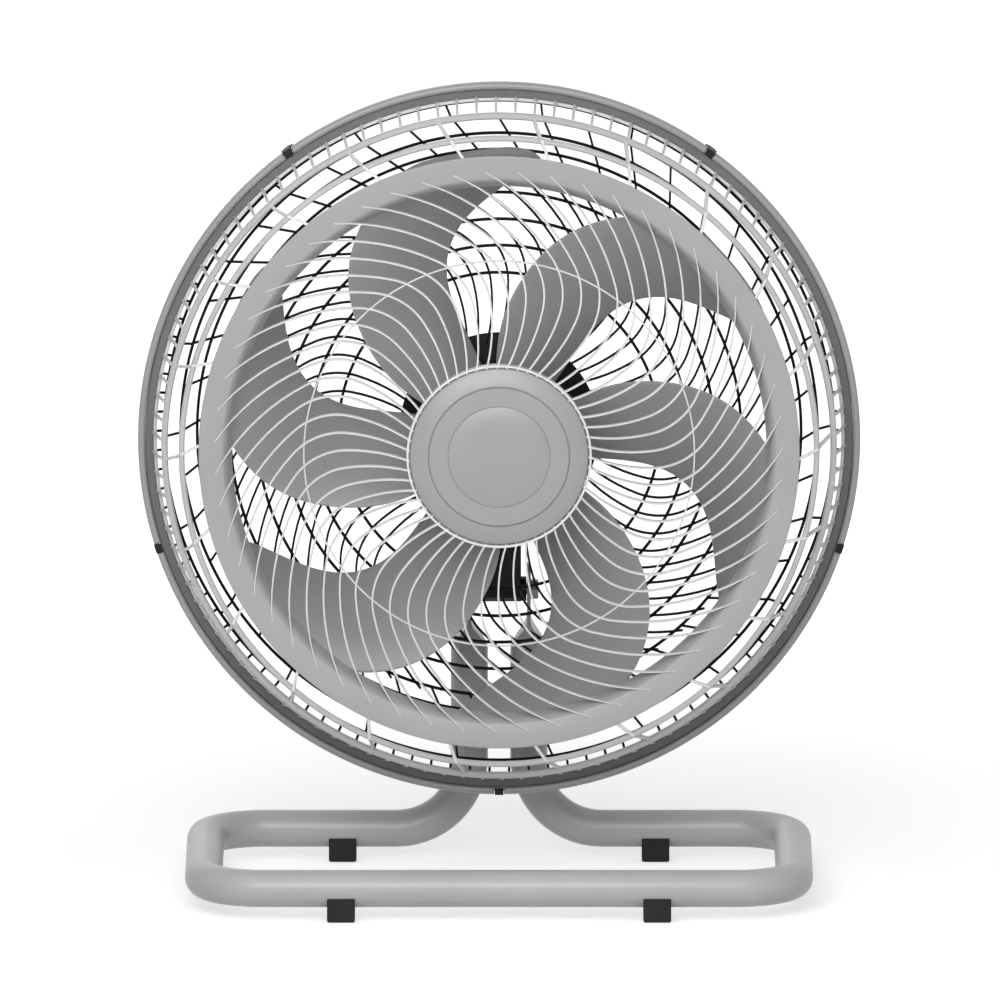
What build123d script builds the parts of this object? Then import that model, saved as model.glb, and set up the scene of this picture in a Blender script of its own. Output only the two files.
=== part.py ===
"""Floor fan on a bent tube base.

Millimetres, +Z up. The fan blows towards -Y, and the origin is on the floor, under the middle of
the fan's bounding box. The guards, motor and blade are drawn on the HEAD plane, whose own axes are
x to the right, y up and z forward along the blade's axis, with z = 0 on the rim. Angles round that
axis are clock angles, in degrees from the top.
"""

import os
from math import cos, hypot, radians, sin, tan

from build123d import *

os.makedirs("parts", exist_ok=True)

# Base tube
TUBE_D = 25.4
TUBE_WALL = 1.2
BASE_WIDTH = 426.0
BASE_DEPTH = 221.0
TUBE_HEIGHT = 21.4
CORNER_R = 41.0
RISE_R = 50.0
RISER_X = 20.3
BEND_STEPS = 3
TUBE_SIDES = 16
BORE_SIDES = 8
FLATTEN_FROM = 146.0
FLATTEN_TO = 168.0
LUG_THICKNESS = 2.6
LUG_WIDTH = 36.0
PIVOT_HEIGHT = 188.0
BOLT_R = 4.0
BOLT_HEAD_R = 7.5
BOLT_HEAD_DEPTH = 5.3
FIT_GAP = 0.3
KNOB_R = 15.0
KNOB_LOBES = 6
KNOB_DEPTH = 14.0
KNOB_COLLAR_R = 9.0
KNOB_COLLAR_DEPTH = 4.0
KNOB_CAP_DEPTH = 2.0
NECK_WIDTH = 30.0
BOSS_WIDTH = 37.4
FLANGE_WIDTH = 44.0

# Feet
FOOT_X = 107.0
FOOT_WIDTH = 18.9
FOOT_TOP = 16.4
FOOT_CHAMFER = 1.0

# Where the head sits over the base
AXIS_HEIGHT = 306.0
RIM_AHEAD = 82.0
BACK_REACH = 46.0
FRONT_REACH = BASE_DEPTH + TUBE_D / 2
RISER_Y = (FRONT_REACH - BACK_REACH) / 2

# Guard radii, from the rim inwards
RIM_R = 245.5
LIP_INNER_R = 240.8
BAND_INNER_R = 235.0
CAGE_FOOT_R = 232.6
RING_ONE_R = 227.0
RING_TWO_R = 215.2
CONE_OUTER_R = 203.8
CONE_BEND_R = 187.5
CONE_INNER_R = 181.0
MIDDLE_RING_R = 132.4
HUB_RING_R = 62.8
HUB_RING_WALL = 4.0

# Guard places along the axis, forward of the rim
HOOP_BACK_Z = -7.0
HOOP_FRONT_Z = 2.5
BAND_BACK_Z = -5.0
BAND_FRONT_Z = -1.0
RING_ONE_Z = 28.5
POST_TOP_Z = RING_ONE_Z - 2.5
CARRIER_Z = RING_ONE_Z + 2.5
RING_TWO_Z = 50.8
CONE_OUTER_Z = 55.5
CONE_BEND_Z = 52.0
CONE_INNER_Z = 45.0
MIDDLE_RING_Z = 60.5
HUB_RING_Z = 71.0
HUB_RING_DEPTH = 9.0
BACK_Z = -33.0

# Guard sections
RING_SIDES = 55
RIM_SIDES = 44
CONE_WALL = 2.0
RIB_WIDTH = 1.9
TIP_WIDTH = 0.7
RIB_DEPTH = 4.5
RIB_COUNT = 55
ARM_COUNT = 22
ARM_WIDTH = 2.2
ARM_PHASE = 9.56
ARM_SLANT = 1.85
POST_PHASE = 6.02
POST_WIDTH = 1.9

# A spiral rib leaves the hub ring leaning this far from the radius, and then turns back the other
# way through three arcs, each with its radius, the angle that it turns and its number of chords
RIB_START_R = 60.6
RIB_START_ANGLE = -1.45
RIB_START_LEAN = 22.5
RIB_ARCS = ((116.0, 21.8, 1), (44.5, 52.5, 2), (153.0, 33.0, 2))

# Clock angles at which the first rib crosses the middle ring and reaches the cone
MIDDLE_ANGLE = -2.0
TIP_ANGLE = -28.0

# A rib's front edge lies in one plane, which falls outwards by this slope at this clock angle
RIB_SLOPE = 0.1435
RIB_PLANE_ANGLE = -5.0

# Clips
CLIP_COUNT = 5
CLIP_PHASE = 36.0
CLIP_WIDTH = 7.5
CLIP_PIN_R = 246.2
CLIP_PIN_Z = -13.0
PIN_SIZE = 1.0
PIN_SIDES = 8
EAR_WIDTH = 2.0
CLIP_FRONT_Z = 4.4

# Back guard, with its rings as (radius, clock angle of a rib's crossing)
BACK_RINGS = ((109.4, 3.0), (146.3, -8.0), (183.1, -24.4), (228.0, 0.0))
BACK_RIM_R = 228.0
BACK_RING_WIDTH = 2.4
BACK_DEPTH = 2.8
PLATE_R = 68.0
BACK_SPIRAL_R = 182.0
BACK_RIB_WIDTH = 1.9
BACK_RIB_ARCS = ((116.0, 21.8, 1), (44.5, 52.5, 2), (153.0, 28.5, 1))
BACK_ARM_PHASE = 8.5
BACK_ARM_SLANT = 8.5
BACK_POST_PHASE = 7.0

# Blade
BLADE_COUNT = 6
BLADE_R = 200.0
BLADE_THICKNESS = 2.2
BLADE_HUB_R = 42.0
BLADE_HUB_DEPTH = 34.0
BLADE_MID_Z = 3.0
# One blade from its hub to its tip: (radius, clock angles of its trailing and leading edge, pitch)
BLADE_STATIONS = (
    (39.0, 57.0, 108.0, 37.0),
    (76.0, 60.0, 102.5, 33.0),
    (114.0, 67.5, 102.0, 28.0),
    (150.0, 77.0, 111.0, 24.0),
    (181.6, 90.0, 125.3, 20.5),
    (193.0, 96.5, 128.5, 19.5),
    (BLADE_R, 104.5, 122.0, 19.0),
)
BLADE_CAMBER = 0.05

# Motor
MOTOR_SIZE = 84.0
MOTOR_CORNER = 20.0
SHAFT_R = 4.0
BUSH_R = 7.0
BUSH_GAP = 0.03
STACK_DEPTH = 22.0
ROTOR_R = 24.0
NOSE_R = 14.0
NOSE_Z = -23.0
STACK_FRONT_Z = -52.0
MOTOR_BACK_Z = -96.0
COVER_WALL = 4.0
COVER_BORE_R = 39.0
BUSH_DEPTH = 8.0
AIR_GAP = 1.2
WINDING_R = 36.0
WINDING_BORE_R = 27.0
WINDING_DEPTH = 8.0
SCREW_SPACING = 66.0
SCREW_R = 2.1
SCREW_HEAD_R = 4.0
SCREW_HEAD_DEPTH = 2.5
CAPACITOR_SPOT = (-23.0, 17.0)
CAPACITOR_SIZE = (24.0, 16.0)
CAPACITOR_DEPTH = 14.0
TERMINAL_Y = -24.0
TERMINAL_PITCH = 9.0

# Motor shell, with its walls as (radius, forward)
SHELL_FRONT_Z = -38.0
SHELL_SLOT_Z = -98.0
SHELL_BACK_Z = -122.0
SHELL_SKIN = ((60.0, SHELL_FRONT_Z), (56.0, SHELL_SLOT_Z), (46.0, -116.0), (30.0, SHELL_BACK_Z))
SHELL_HOLLOW = ((57.5, SHELL_FRONT_Z), (53.5, SHELL_SLOT_Z), (44.0, -114.0), (29.0, SHELL_BACK_Z + 2))
SHELL_SIDES = 32
VENT_LENGTH = 10.0
VENT_WIDTH = 3.0
VENT_X = 16.0
VENT_PITCH = 8.0
VENT_ROWS = 5
GLAND_R = 6.0
GLAND_BORE_R = 3.6
GLAND_SPOT = (0.0, -26.0)

# Speed knob
SPEED_X = 18.6
SPEED_Z = -84.0
SPEED_TOP = 82.0
SPEED_KNOB_R = 9.5
STEM_R = 3.0

# Cap
CAP_BACK_Z = 65.0
CAP_STEP_R = 47.8
CAP_DISC_R = 34.7

HEAD = Plane(
    origin=(0, RISER_Y - RIM_AHEAD, AXIS_HEIGHT),
    x_dir=(1, 0, 0),
    z_dir=(0, -1, 0),
)
PIVOT_TOP = Plane(
    origin=(0, RISER_Y, AXIS_HEIGHT - MOTOR_SIZE / 2 - 4),
    x_dir=(1, 0, 0),
    z_dir=(0, 0, -1),
)
PIVOT = Plane(origin=(0, RISER_Y, PIVOT_HEIGHT), x_dir=(0, 1, 0), z_dir=(1, 0, 0))
AXIS = Axis(HEAD.origin, HEAD.z_dir)
SPEED = Plane(origin=HEAD.from_local_coords(Vector(SPEED_X, 0, SPEED_Z)), x_dir=(1, 0, 0), z_dir=(0, 0, 1))


def save(builder, label):
    """Name a finished piece and write it to its own file."""
    builder.part.label = label
    export_step(builder.part, "parts/" + label + ".step")


def clock(angle, radius):
    """The HEAD plane's point at a clock angle and radius."""
    return (radius * sin(radians(angle)), radius * cos(radians(angle)))


def head_radial(angle):
    """The plane through the blade's axis at a clock angle: x outwards, y forward."""
    out = Vector(sin(radians(angle)), 0, cos(radians(angle)))
    return Plane(origin=HEAD.origin, x_dir=out, z_dir=out.cross(HEAD.z_dir))


def flat_ring(outer, inner, back, front, sides=RING_SIDES, phase=0):
    """A wide ring drawn with short flats, the first corner at this clock angle."""
    with BuildSketch(HEAD.offset(back)) as outline:
        RegularPolygon(outer, sides, rotation=90 - phase)
        RegularPolygon(inner, sides, rotation=90 - phase, mode=Mode.SUBTRACT)
    extrude(outline.sketch, amount=front - back)


def skin(outlines):
    """A solid through outlines with as many points each, faced with flat triangles.

    Each outline runs clockwise as seen from the last one.
    """
    triangles = []
    for end in (outlines[0], outlines[-1]):
        for i in range((len(end) - 1) // 2):
            triangles.append((end[i], end[i + 1], end[-1 - i]))
            if i + 1 < len(end) - 2 - i:
                triangles.append((end[i + 1], end[-2 - i], end[-1 - i]))
    for near, far in zip(outlines, outlines[1:]):
        for i in range(len(near)):
            j = (i + 1) % len(near)
            triangles.append((near[i], near[j], far[i]))
            triangles.append((near[j], far[j], far[i]))
    return Solid(Shell([Face(Wire.make_polygon(corners)) for corners in triangles]))


def flat_cone(stations, sides=RING_SIDES, mode=Mode.ADD, phase=0):
    """A turned form drawn with short flats, through (radius, forward) stations."""
    outlines = []
    for radius, forward in stations:
        corners = [clock(phase + 360 * i / sides, radius) for i in range(sides)]
        outlines.append([HEAD.from_local_coords(Vector(x, y, forward)) for x, y in corners])
    add(skin(outlines), mode=mode)


def flats(radius, sides, back, front, mode=Mode.ADD):
    """A turned piece of one radius, drawn with flats."""
    flat_cone(((radius, back), (radius, front)), sides, mode)


def disc(radius, back, front, mode=Mode.ADD):
    """A round disc about the blade's axis."""
    with BuildSketch(HEAD.offset(back)) as outline:
        Circle(radius)
    extrude(outline.sketch, amount=front - back, mode=mode)


def block(centre, size, back, front, mode=Mode.ADD):
    """A block along the blade's axis, placed by its middle in the HEAD plane."""
    with BuildSketch(HEAD.offset(back)) as outline:
        with Locations(centre):
            Rectangle(*size)
    extrude(outline.sketch, amount=front - back, mode=mode)


# Base tube


def tube_stations():
    """Places along the tube's centre line, as (point, direction), two on each straight run."""
    side = BASE_WIDTH / 2 - TUBE_D / 2
    front = RISER_Y - BASE_DEPTH
    corners = [
        (Vector(-RISER_X, RISER_Y, TUBE_HEIGHT), RISE_R),
        (Vector(-side, RISER_Y, TUBE_HEIGHT), CORNER_R),
        (Vector(-side, front, TUBE_HEIGHT), CORNER_R),
        (Vector(side, front, TUBE_HEIGHT), CORNER_R),
        (Vector(side, RISER_Y, TUBE_HEIGHT), CORNER_R),
        (Vector(RISER_X, RISER_Y, TUBE_HEIGHT), RISE_R),
    ]
    ends = [Vector(x, RISER_Y, FLATTEN_FROM) for x in (-RISER_X, RISER_X)]
    points = [ends[0]] + [corner for corner, _ in corners] + [ends[1]]
    stations = [(ends[0], Vector(0, 0, -1))]
    for i, (corner, radius) in enumerate(corners):
        before = (corner - points[i]).normalized()
        after = (points[i + 2] - corner).normalized()
        centre = corner + (after - before) * radius
        for step in range(BEND_STEPS + 1):
            turn = radians(90 * step / BEND_STEPS)
            place = centre - after * (radius * cos(turn)) + before * (radius * sin(turn))
            stations.append((place, before * cos(turn) + after * sin(turn)))
    stations.append((ends[1], Vector(0, 0, 1)))
    return stations


def section_plane(place, direction):
    """The plane square to the tube, with its x axis level."""
    level = Vector(0, 0, 1).cross(direction)
    if level.length < 0.01:
        level = Vector(0, -1, 0)
    return Plane(origin=place, x_dir=level, z_dir=direction)


def tube_loft(radius, sides, mode=Mode.ADD):
    """The bent tube, or its bore, drawn with flats from one riser round to the other."""
    sections = []
    for place, direction in tube_stations():
        with BuildSketch(section_plane(place, direction)) as section:
            RegularPolygon(radius, sides, rotation=180 / sides)
        sections.append(section.sketch)
    loft(sections, ruled=True, mode=mode)


def flattened(side, height, half_thickness, half_width):
    """The riser's section at this height, squeezed between two flats."""
    points = []
    for i in range(TUBE_SIDES):
        turn = radians(90 + 360 * (i + 0.5) / TUBE_SIDES)
        across = max(-half_thickness, min(half_thickness, TUBE_D / 2 * cos(turn)))
        points.append(Vector(side * RISER_X + across, RISER_Y + half_width * sin(turn), height))
    return points


with BuildPart() as base_tube:
    tube_loft(TUBE_D / 2, TUBE_SIDES)
    tube_loft(TUBE_D / 2 - TUBE_WALL, BORE_SIDES, mode=Mode.SUBTRACT)
    for side in (-1, 1):
        round_end = flattened(side, FLATTEN_FROM, TUBE_D / 2, TUBE_D / 2)
        flat_end = flattened(side, FLATTEN_TO, LUG_THICKNESS / 2, LUG_WIDTH / 2)
        add(skin([round_end, flat_end]))
        with BuildSketch(PIVOT.offset(side * RISER_X)):
            RegularPolygon(LUG_WIDTH / 2, 24)
            with Locations((0, (FLATTEN_TO - PIVOT_HEIGHT) / 2)):
                Rectangle(LUG_WIDTH, PIVOT_HEIGHT - FLATTEN_TO)
            RegularPolygon((BOLT_R + FIT_GAP) / cos(radians(180 / 12)), 12, mode=Mode.SUBTRACT)
        extrude(amount=LUG_THICKNESS / 2, both=True)

save(base_tube, "base_tube")


# Feet


def make_foot(label, x, y):
    """A rubber saddle that the tube's underside presses into."""
    with BuildPart() as foot:
        with BuildSketch(Plane.YZ.offset(x - FOOT_WIDTH / 2)):
            with Locations((y, 0)):
                Rectangle(TUBE_D, FOOT_TOP, align=(Align.CENTER, Align.MIN))
            with Locations((y, TUBE_HEIGHT)):
                RegularPolygon(TUBE_D / 2, TUBE_SIDES, rotation=180 / TUBE_SIDES, mode=Mode.SUBTRACT)
        extrude(amount=FOOT_WIDTH)
        chamfer(foot.faces().sort_by(Axis.Z)[0].edges(), FOOT_CHAMFER)
    save(foot, label)


for side, hand in ((-1, "left"), (1, "right")):
    make_foot("foot_front_" + hand, side * FOOT_X, RISER_Y - BASE_DEPTH)
    make_foot("foot_rear_" + hand, side * FOOT_X, RISER_Y)


# Tilt pivot

LUG_OUT = RISER_X + LUG_THICKNESS / 2

with BuildPart() as tilt_bolt:
    with BuildSketch(PIVOT.offset(-LUG_OUT - KNOB_DEPTH + 3)):
        Circle(BOLT_R)
    extrude(amount=2 * LUG_OUT + KNOB_DEPTH - 3)
    with BuildSketch(PIVOT.offset(LUG_OUT)):
        RegularPolygon(BOLT_HEAD_R, 6)
    extrude(amount=BOLT_HEAD_DEPTH)

save(tilt_bolt, "tilt_bolt")


def knob_lobes():
    """The knob's outline: wide lobes with narrow grooves between them."""
    points = []
    for i in range(KNOB_LOBES):
        for turn, radius in ((0, KNOB_R), (28, KNOB_R), (44, KNOB_R - 3)):
            angle = radians(360 * i / KNOB_LOBES + turn)
            points.append((radius * cos(angle), radius * sin(angle)))
    return points


with BuildPart() as tilt_knob:
    with BuildSketch(PIVOT.offset(-LUG_OUT - FIT_GAP)):
        RegularPolygon(KNOB_COLLAR_R, 12)
        Circle(BOLT_R + BUSH_GAP, mode=Mode.SUBTRACT)
    extrude(amount=-KNOB_COLLAR_DEPTH)
    with BuildSketch(PIVOT.offset(-LUG_OUT - FIT_GAP - KNOB_COLLAR_DEPTH)):
        Polygon(*knob_lobes(), align=None)
        Circle(BOLT_R + BUSH_GAP, mode=Mode.SUBTRACT)
    extrude(amount=-(KNOB_DEPTH - KNOB_COLLAR_DEPTH))
    with BuildSketch(PIVOT.offset(-LUG_OUT - FIT_GAP - KNOB_DEPTH)):
        RegularPolygon(KNOB_COLLAR_R, 12)
    extrude(amount=-KNOB_CAP_DEPTH)

save(tilt_knob, "tilt_knob")

# The bracket's outline, seen from the side: (back of the rim, height over the blade's axis)
NECK_TOP = -MOTOR_SIZE / 2
NECK_BACK = -RIM_AHEAD - 12
NECK_FRONT = -RIM_AHEAD + 12

with BuildPart() as tilt_bracket:
    with BuildSketch(PIVOT.offset(-NECK_WIDTH / 2)):
        with BuildLine():
            Polyline(
                (-13, AXIS_HEIGHT - PIVOT_HEIGHT + NECK_TOP),
                (-13, AXIS_HEIGHT - PIVOT_HEIGHT + NECK_TOP - 4),
                (-10, 24),
                (-9, 0),
            )
            Polyline((-9, 0), (-7.5, -5), (-3, -8.5), (3, -8.5), (7.5, -5), (9, 0))
            Polyline(
                (9, 0),
                (10, 24),
                (13, AXIS_HEIGHT - PIVOT_HEIGHT + NECK_TOP - 4),
                (13, AXIS_HEIGHT - PIVOT_HEIGHT + NECK_TOP),
                (-13, AXIS_HEIGHT - PIVOT_HEIGHT + NECK_TOP),
            )
        make_face()
    extrude(amount=NECK_WIDTH)
    with BuildSketch(PIVOT.offset(-BOSS_WIDTH / 2)):
        RegularPolygon(8.6, 12)
    extrude(amount=BOSS_WIDTH)
    with BuildSketch(PIVOT.offset(-BOSS_WIDTH / 2)):
        Circle(BOLT_R + BUSH_GAP)
    extrude(amount=BOSS_WIDTH, mode=Mode.SUBTRACT)
    with BuildSketch(HEAD.offset(NECK_BACK - 1)):
        with Locations((0, NECK_TOP - 2)):
            Rectangle(FLANGE_WIDTH, 4)
    extrude(amount=NECK_FRONT - NECK_BACK + 2)

save(tilt_bracket, "tilt_bracket")


# Rim

with BuildPart() as rim_hoop:
    flat_cone(((RIM_R, HOOP_BACK_Z), (RIM_R, HOOP_FRONT_Z - 2), (RIM_R - 1.5, HOOP_FRONT_Z)), RIM_SIDES)
    flat_cone(((LIP_INNER_R, HOOP_BACK_Z), (LIP_INNER_R, HOOP_FRONT_Z)), RIM_SIDES, mode=Mode.SUBTRACT)

save(rim_hoop, "rim_hoop")

with BuildPart() as rim_band:
    flat_ring(LIP_INNER_R, BAND_INNER_R, BAND_BACK_Z, BAND_FRONT_Z, RIM_SIDES)

save(rim_band, "rim_band")


# Front cage

CLIP_ANGLES = [CLIP_PHASE + 360 * i / CLIP_COUNT for i in range(CLIP_COUNT)]


def radial_bars(angles, points, width, shift=0):
    """Bars that lie in radial planes, each with this (radius, forward) outline, or beside those planes."""
    bars = []
    for angle in angles:
        with BuildSketch(head_radial(angle).offset(shift - width / 2)) as outline:
            Polygon(*points, align=None)
        bars.append(outline.sketch.face())
    extrude(bars, amount=width)


def slanted_bar(angle, inner_r, outer_r, slant, width):
    """Outline of a bar in the HEAD plane that leans by slant degrees over its length."""
    inner = Vector(*clock(angle, inner_r))
    outer = Vector(*clock(angle - slant, outer_r))
    across = (outer - inner).normalized().rotate(Axis.Z, 90) * (width / 2)
    return [(point.X, point.Y) for point in (inner + across, outer + across, outer - across, inner - across)]


with BuildPart() as front_bars:
    flat_ring(BAND_INNER_R, CAGE_FOOT_R, BAND_BACK_Z, BAND_FRONT_Z, RIM_SIDES)
    flat_ring(RING_ONE_R + 1.5, RING_ONE_R - 1.5, POST_TOP_Z, CARRIER_Z, RIM_SIDES)
    flat_ring(RING_TWO_R + 1.6, RING_TWO_R - 1.6, RING_TWO_Z - 1.5, RING_TWO_Z + 1.5, RIM_SIDES)
    radial_bars(
        [POST_PHASE + 360 * i / ARM_COUNT for i in range(ARM_COUNT)],
        ((CAGE_FOOT_R, -3), (BAND_INNER_R - 1, -3), (RING_ONE_R + 1.2, RING_ONE_Z),
         (RING_TWO_R + 1, RING_TWO_Z + 1), (RING_TWO_R - 1, RING_TWO_Z - 1), (RING_ONE_R - 1, RING_ONE_Z)),
        POST_WIDTH,
    )
    for i in range(ARM_COUNT):
        angle = ARM_PHASE + 360 * i / ARM_COUNT
        with BuildSketch(HEAD.offset(RING_TWO_Z + 1)):
            Polygon(*slanted_bar(angle, CONE_OUTER_R, RING_TWO_R + 1, ARM_SLANT, ARM_WIDTH), align=None)
    extrude(amount=3)
    flat_cone(((CONE_OUTER_R, RING_TWO_Z), (CONE_OUTER_R, CONE_OUTER_Z)), mode=Mode.SUBTRACT, phase=TIP_ANGLE)

with BuildPart() as front_foot_ring:
    add(front_bars.part)
    split(bisect_by=HEAD.offset(BAND_FRONT_Z), keep=Keep.BOTTOM)

save(front_foot_ring, "front_foot_ring")

with BuildPart() as front_posts:
    add(front_bars.part)
    split(bisect_by=HEAD.offset(BAND_FRONT_Z), keep=Keep.TOP)
    split(bisect_by=HEAD.offset(POST_TOP_Z), keep=Keep.BOTTOM)

save(front_posts, "front_posts")

with BuildPart() as front_cage:
    add(front_bars.part)
    split(bisect_by=HEAD.offset(POST_TOP_Z), keep=Keep.TOP)
    split(bisect_by=HEAD.offset(CARRIER_Z), keep=Keep.BOTTOM)

save(front_cage, "front_cage")

with BuildPart() as cone_carrier:
    add(front_bars.part)
    split(bisect_by=HEAD.offset(CARRIER_Z), keep=Keep.TOP)

save(cone_carrier, "cone_carrier")


# Front grille


def spiral_outline(arcs, start_width, tip_width):
    """A spiral rib's outline about the axis, x outwards from clock angle 0 and y anticlockwise."""
    heading = -RIB_START_ANGLE - RIB_START_LEAN
    start = radians(-RIB_START_ANGLE)
    place = Vector(RIB_START_R * cos(start), RIB_START_R * sin(start))
    line = [(place, heading)]
    for radius, turn, steps in arcs:
        step = turn / steps
        for _ in range(steps):
            along = radians(heading + step / 2)
            place = place + Vector(cos(along), sin(along)) * (2 * radius * sin(radians(step / 2)))
            heading = heading + step
            line.append((place, heading))
    left = []
    right = []
    for i, (point, direction) in enumerate(line):
        half = start_width / 2
        if i == len(line) - 1:
            half = tip_width / 2
        across = Vector(-sin(radians(direction)), cos(radians(direction))) * half
        left.append(point + across)
        right.append(point - across)
    return left + right[::-1]


def rib_plane(angle):
    """The sloping plane that a rib's front edge lies in."""
    radial = head_radial(angle + RIB_PLANE_ANGLE)
    peak = HUB_RING_Z - 0.5 + RIB_SLOPE * HUB_RING_R
    down = radial.x_dir - HEAD.z_dir * RIB_SLOPE
    ahead = HEAD.z_dir + radial.x_dir * RIB_SLOPE
    return Plane(origin=HEAD.origin + HEAD.z_dir * peak, x_dir=down, z_dir=ahead)


def rib_points():
    """The rib's outline in its own plane, stretched so that it is true seen from the front."""
    stretch = hypot(1, RIB_SLOPE)
    points = []
    for point in spiral_outline(RIB_ARCS, RIB_WIDTH, TIP_WIDTH):
        turned_point = point.rotate(Axis.Z, RIB_PLANE_ANGLE)
        points.append((turned_point.X * stretch, turned_point.Y))
    return points


with BuildPart() as front_grille:
    flat_cone((
        (CONE_INNER_R + 1.8, CONE_INNER_Z - 1.4),
        (CONE_BEND_R + 2.5, CONE_BEND_Z - 4.5),
        (CONE_OUTER_R, CONE_OUTER_Z - CONE_WALL),
        (CONE_OUTER_R, CONE_OUTER_Z),
    ), phase=TIP_ANGLE)
    flat_cone((
        (CONE_INNER_R + 1.8, CONE_INNER_Z - 1.4),
        (CONE_INNER_R, CONE_INNER_Z),
        (CONE_BEND_R, CONE_BEND_Z),
        (CONE_OUTER_R, CONE_OUTER_Z),
    ), mode=Mode.SUBTRACT, phase=TIP_ANGLE)
    flat_ring(
        MIDDLE_RING_R + 1, MIDDLE_RING_R - 1, MIDDLE_RING_Z - 3.4, MIDDLE_RING_Z - 1.4, phase=MIDDLE_ANGLE
    )
    flat_ring(
        HUB_RING_R, HUB_RING_R - HUB_RING_WALL, HUB_RING_Z - HUB_RING_DEPTH, HUB_RING_Z, phase=RIB_START_ANGLE
    )
    for i in range(RIB_COUNT):
        with BuildSketch(rib_plane(360 * i / RIB_COUNT)):
            Polygon(*rib_points(), align=None)
    extrude(amount=-RIB_DEPTH)

save(front_grille, "front_grille")

CAP_R = HUB_RING_R - HUB_RING_WALL

with BuildPart() as hub_cap:
    flat_cone(((CAP_R, CAP_BACK_Z), (CAP_R, 70), (CAP_STEP_R, 72), (CAP_DISC_R, 72.6)), phase=RIB_START_ANGLE)

save(hub_cap, "hub_cap")


# Blade

BLADE_BACK_Z = BLADE_MID_Z - BLADE_HUB_DEPTH / 2
BLADE_FRONT_Z = BLADE_MID_Z + BLADE_HUB_DEPTH / 2


def blade_section(radius, trailing, leading, pitch):
    """The blade's cambered outline at one radius, between the clock angles of its two edges."""
    chord = radians(leading - trailing) * radius
    middle = []
    for share in (0.0, 0.3, 0.65, 1.0):
        angle = trailing + (leading - trailing) * share
        fall = chord * (0.5 - share) * tan(radians(pitch))
        camber = BLADE_CAMBER * chord * 4 * share * (1 - share)
        middle.append(Vector(*clock(angle, radius), BLADE_MID_Z + fall + camber))
    half = Vector(0, 0, BLADE_THICKNESS / 2)
    outline = [point - half for point in middle] + [point + half for point in middle[::-1]]
    return [HEAD.from_local_coords(point) for point in outline]


one_blade = skin([blade_section(*station) for station in BLADE_STATIONS])

with BuildPart() as fan_blade:
    for i in range(BLADE_COUNT):
        add(one_blade.rotate(AXIS, 360 * i / BLADE_COUNT))
    flat_cone(((BLADE_HUB_R, BLADE_BACK_Z), (BLADE_HUB_R, 16), (BLADE_HUB_R - 4, BLADE_FRONT_Z)), 30)
    flats(BLADE_HUB_R - 2.5, 30, BLADE_BACK_Z, BLADE_FRONT_Z - 3, mode=Mode.SUBTRACT)
    flats(10, 15, BLADE_BACK_Z + 2, BLADE_FRONT_Z - 2)
    disc(SHAFT_R, BLADE_BACK_Z, BLADE_FRONT_Z, mode=Mode.SUBTRACT)

save(fan_blade, "fan_blade")

with BuildPart() as blade_nut:
    flat_cone(((13, BLADE_FRONT_Z), (13, BLADE_FRONT_Z + 4), (9, BLADE_FRONT_Z + 14)), 12)
    flats(SHAFT_R / cos(radians(180 / 8)), 8, BLADE_FRONT_Z, BLADE_FRONT_Z + 11, mode=Mode.SUBTRACT)

save(blade_nut, "blade_nut")


# Motor

FRONT_COVER_Z = BACK_Z - BACK_DEPTH / 2
STACK_BACK_Z = STACK_FRONT_Z - STACK_DEPTH


def rounded_square(back, front, mode=Mode.ADD):
    """The motor's square outline with clipped corners."""
    with BuildSketch(HEAD.offset(back)) as outline:
        Rectangle(MOTOR_SIZE, MOTOR_SIZE)
        chamfer(outline.vertices(), MOTOR_CORNER / 2)
    extrude(outline.sketch, amount=front - back, mode=mode)


def screw_holes(back, front):
    """Holes for the four long motor screws."""
    with BuildSketch(HEAD.offset(back)) as outline:
        with GridLocations(SCREW_SPACING, SCREW_SPACING, 2, 2):
            RegularPolygon(SCREW_R + 0.1, 6)
    extrude(outline.sketch, amount=front - back, mode=Mode.SUBTRACT)


with BuildPart() as motor_shaft:
    disc(SHAFT_R, MOTOR_BACK_Z + 0.5, BLADE_FRONT_Z + 10)

save(motor_shaft, "motor_shaft")

with BuildPart() as motor_front_cover:
    rounded_square(STACK_FRONT_Z, FRONT_COVER_Z)
    flats(NOSE_R, 16, FRONT_COVER_Z, NOSE_Z)
    flats(COVER_BORE_R, 16, STACK_FRONT_Z, FRONT_COVER_Z - COVER_WALL, mode=Mode.SUBTRACT)
    flats(BUSH_R, 8, FRONT_COVER_Z - COVER_WALL, NOSE_Z, mode=Mode.SUBTRACT)
    screw_holes(STACK_FRONT_Z, FRONT_COVER_Z - COVER_WALL)

save(motor_front_cover, "motor_front_cover")

with BuildPart() as motor_rear_cover:
    rounded_square(MOTOR_BACK_Z, STACK_BACK_Z)
    flats(COVER_BORE_R, 16, MOTOR_BACK_Z + COVER_WALL, STACK_BACK_Z, mode=Mode.SUBTRACT)
    flats(BUSH_R + 5, 8, MOTOR_BACK_Z, MOTOR_BACK_Z + BUSH_DEPTH)
    flats(BUSH_R, 8, MOTOR_BACK_Z, MOTOR_BACK_Z + BUSH_DEPTH, mode=Mode.SUBTRACT)
    screw_holes(MOTOR_BACK_Z, STACK_BACK_Z)

save(motor_rear_cover, "motor_rear_cover")

with BuildPart() as shaft_bushes:
    flats(BUSH_R, 8, FRONT_COVER_Z - COVER_WALL, NOSE_Z)
    flats(BUSH_R, 8, MOTOR_BACK_Z, MOTOR_BACK_Z + BUSH_DEPTH)
    flats((SHAFT_R + BUSH_GAP) / cos(radians(180 / 12)), 12, MOTOR_BACK_Z, NOSE_Z, mode=Mode.SUBTRACT)

save(shaft_bushes, "shaft_bushes")

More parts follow.
